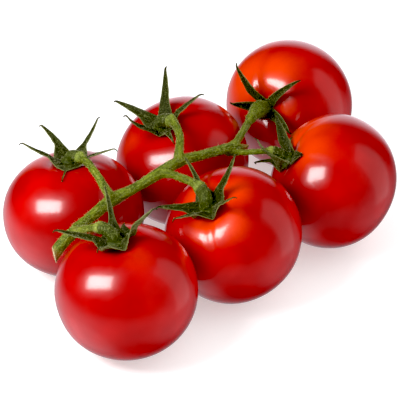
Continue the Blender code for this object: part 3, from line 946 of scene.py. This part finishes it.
def facePlaces(item, count, rng):
    # places spread evenly over the faces, each with the face's normal
    mesh = item.data
    mesh.calc_loop_triangles()
    triangles = mesh.loop_triangles
    chosen = rng.choices(range(len(triangles)), [max(t.area, 1e-12) for t in triangles], k=count)
    places = []
    for index in chosen:
        triangle = triangles[index]
        a, b, c = (mesh.vertices[v].co for v in triangle.vertices)
        u, v = rng.random(), rng.random()
        if u + v > 1:
            u, v = 1 - u, 1 - v
        places.append((a + (b - a) * u + (c - a) * v, triangle.normal.copy()))
    return places


def growHairs(name, crops, spike):
    # every hair is the one spike, set on the skin, leaned over and scaled
    rng = random.Random(hairs["seed"])
    shape = [vert.co.copy() for vert in spike.data.vertices]
    faces = [tuple(face.vertices) for face in spike.data.polygons]
    points, polygons = [], []
    for item, (count, short, tall) in crops:
        for place, normal in facePlaces(item, count, rng):
            astray = Vector([rng.gauss(0, 1) for _ in range(3)]).normalized()
            way = (normal + astray * hairs["lean"] * rng.random()).normalized()
            turn = way.to_track_quat("Z", "Y").to_matrix()
            length = rng.uniform(short, tall)
            start = len(points)
            root = place - normal * hairs["sunk"] * mm
            for corner in shape:
                points.append(root + turn @ Vector((corner.x, corner.y, corner.z * length)))
            polygons += [tuple(start + corner for corner in face) for face in faces]
    mesh = bpy.data.meshes.new(name)
    mesh.from_pydata(points, [], polygons)
    return addItem(name, mesh)


bpy.ops.mesh.primitive_cone_add(vertices=hairs["sides"], radius1=hairs["radius"] * mm, radius2=0,
                                depth=mm, end_fill_type="NGON")
spike = bpy.context.object
for vert in spike.data.vertices:
    vert.co.z += mm / 2                      # the root end on the origin, one millimetre long
crops = [(stem, hairs["stem"]), (stem, hairs["long"])]
crops += [(piece, hairs["calyx"]) for piece in calyxes.values()]
fuzz = growHairs("trussHairs", crops, spike)
bpy.data.objects.remove(spike, do_unlink=True)
fuzz.data.materials.append(paleHair())
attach(fuzz, "root")
print("hairs done")


# Floor, lights and camera

# places and distances here are in metres
studio = {
    "floor": 3.0,
    "floorColour": (0.76, 0.76, 0.76, 1.0),
    "floorPale": (0.80, 0.80, 0.80, 1.0),
    "floorPatches": 3.0,
    "floorFixed": {"Roughness": 0.9, "Specular IOR Level": 0.1,
                   "Emission Color": (1, 1, 1, 1), "Emission Strength": 0.36},
    "camera": (-0.72379, -0.79805, 0.78161),
    "look": (0.5481197, 0.6087486, -0.57357644),
    "lens": 245.67,
    "sensor": 36.0,
    "near": 0.05,
    "aim": (0, 0, 0.035),
    "surround": 0.38,
    "backdrop": 1.0,
    "low": 0.12,
    "lowRange": (0.08, 0.45),
    "lowGap": (0.70, 0.95),
    "lowTint": (1.0, 0.90, 0.98, 1.0),
    "black": 0.018,
    "white": 0.80,
}
# direction from the truss, way of its long side, distance, width, height, watts
lamps = {
    "keyBox": ((-0.745, 0.15, 0.65), (0.1, -0.8, 0.58), 0.55, 0.335, 0.20, 2.5),
    "sideBox": ((0.76, -0.60, 0.26), (0.0, 0.0, 1.0), 0.75, 1.30, 0.52, 0.78),
}
# strength, direction, and how near to the direction a ray is where the glow starts and is full
glows = {
    "overhead": (0.60, (0.68, -0.56, 0.47), -0.1, 0.9),
    "far": (0.45, (-0.34, 0.94, 0.0), -0.3, 0.8),
    "rim": (0.85, (0.73, 0.68, -0.06), 0.84, 0.99),
    "side": (0.18, (0.62, -0.65, -0.45), 0.70, 0.95),
    "foot": (0.25, (-0.50, 0.29, -0.82), 0.88, 0.97),
}

bpy.ops.mesh.primitive_plane_add(size=studio["floor"])
floor = bpy.context.object
floor.name = "studioFloor"
floorLook, floorWire, floorShader = newMaterial("studioFloor", studio["floorFixed"])
floorGrain = floorWire.grain(floorWire.onPiece(), studio["floorPatches"]).between(0.0, 1.0)
feed(floorShader, {"Base Color": floorGrain.blend(studio["floorColour"], studio["floorPale"])})
floor.data.materials.append(floorLook)
floor.visible_glossy = False

for name, (way, longSide, distance, width, height, watts) in lamps.items():
    way = Vector(way).normalized()
    rise = way.cross(Vector(longSide)).normalized()
    bpy.ops.object.light_add(type="AREA", location=Vector(studio["aim"]) + way * distance)
    lamp = bpy.context.object
    lamp.name = name
    lamp.rotation_euler = Matrix((rise.cross(way), rise, way)).transposed().to_euler()
    lamp.data.shape = "RECTANGLE"
    lamp.data.size = width
    lamp.data.size_y = height
    lamp.data.energy = watts

scene = bpy.context.scene
world = bpy.data.worlds.new("whiteStudio")
scene.world = world
world.use_nodes = True
air = Wire(world.node_tree)
background = world.node_tree.nodes["Background"]
rayWay = air.node("ShaderNodeTexCoord", out="Generated")


def towards(direction, low, high):
    # 0 to 1 as the ray's way nears the direction
    return air.node("ShaderNodeVectorMath", {"operation": "DOT_PRODUCT"},
                    {0: rayWay, 1: direction}, out=1).between(low, high)


def glow(name):
    strength, direction, low, high = glows[name]
    return strength * towards(direction, low, high)


# mirrored rays meet a faint glow from below, less straight beneath and more from far behind,
# three soft patches of light, and otherwise darkness
down = (0.0, 0.0, -1.0)
mirrored = studio["low"] * (1.0 - towards(down, *studio["lowGap"])) + glow("far")
mirrored = towards(down, *studio["lowRange"]) * mirrored
for name in ("rim", "side", "foot"):
    mirrored = mirrored + glow(name)
# other rays meet an even light that is stronger overhead, and the camera sees plain white
even = studio["surround"] + glow("overhead")
glossy = air.node("ShaderNodeLightPath", out="Is Glossy Ray")
strength = even + glossy * (mirrored - even)
seen = air.node("ShaderNodeLightPath", out="Is Camera Ray")
strength = strength + seen * (studio["backdrop"] - strength)
world.node_tree.links.new(strength.socket, background.inputs["Strength"])
tint = glossy.blend((1, 1, 1, 1), studio["lowTint"])
world.node_tree.links.new(tint.socket, background.inputs["Color"])

bpy.ops.object.camera_add(location=studio["camera"])
camera = bpy.context.object
camera.rotation_euler = (-Vector(studio["look"])).to_track_quat("Z", "Y").to_euler()
camera.data.lens = studio["lens"]
camera.data.sensor_width = studio["sensor"]
camera.data.sensor_fit = "AUTO"
camera.data.clip_start = studio["near"]
scene.camera = camera
scene.view_settings.view_transform = "Standard"
scene.view_settings.look = "None"
scene.view_settings.use_curve_mapping = True
curve = scene.view_settings.curve_mapping
curve.black_level = (studio["black"],) * 3
curve.white_level = (studio["white"],) * 3
curve.update()
print("studio done")
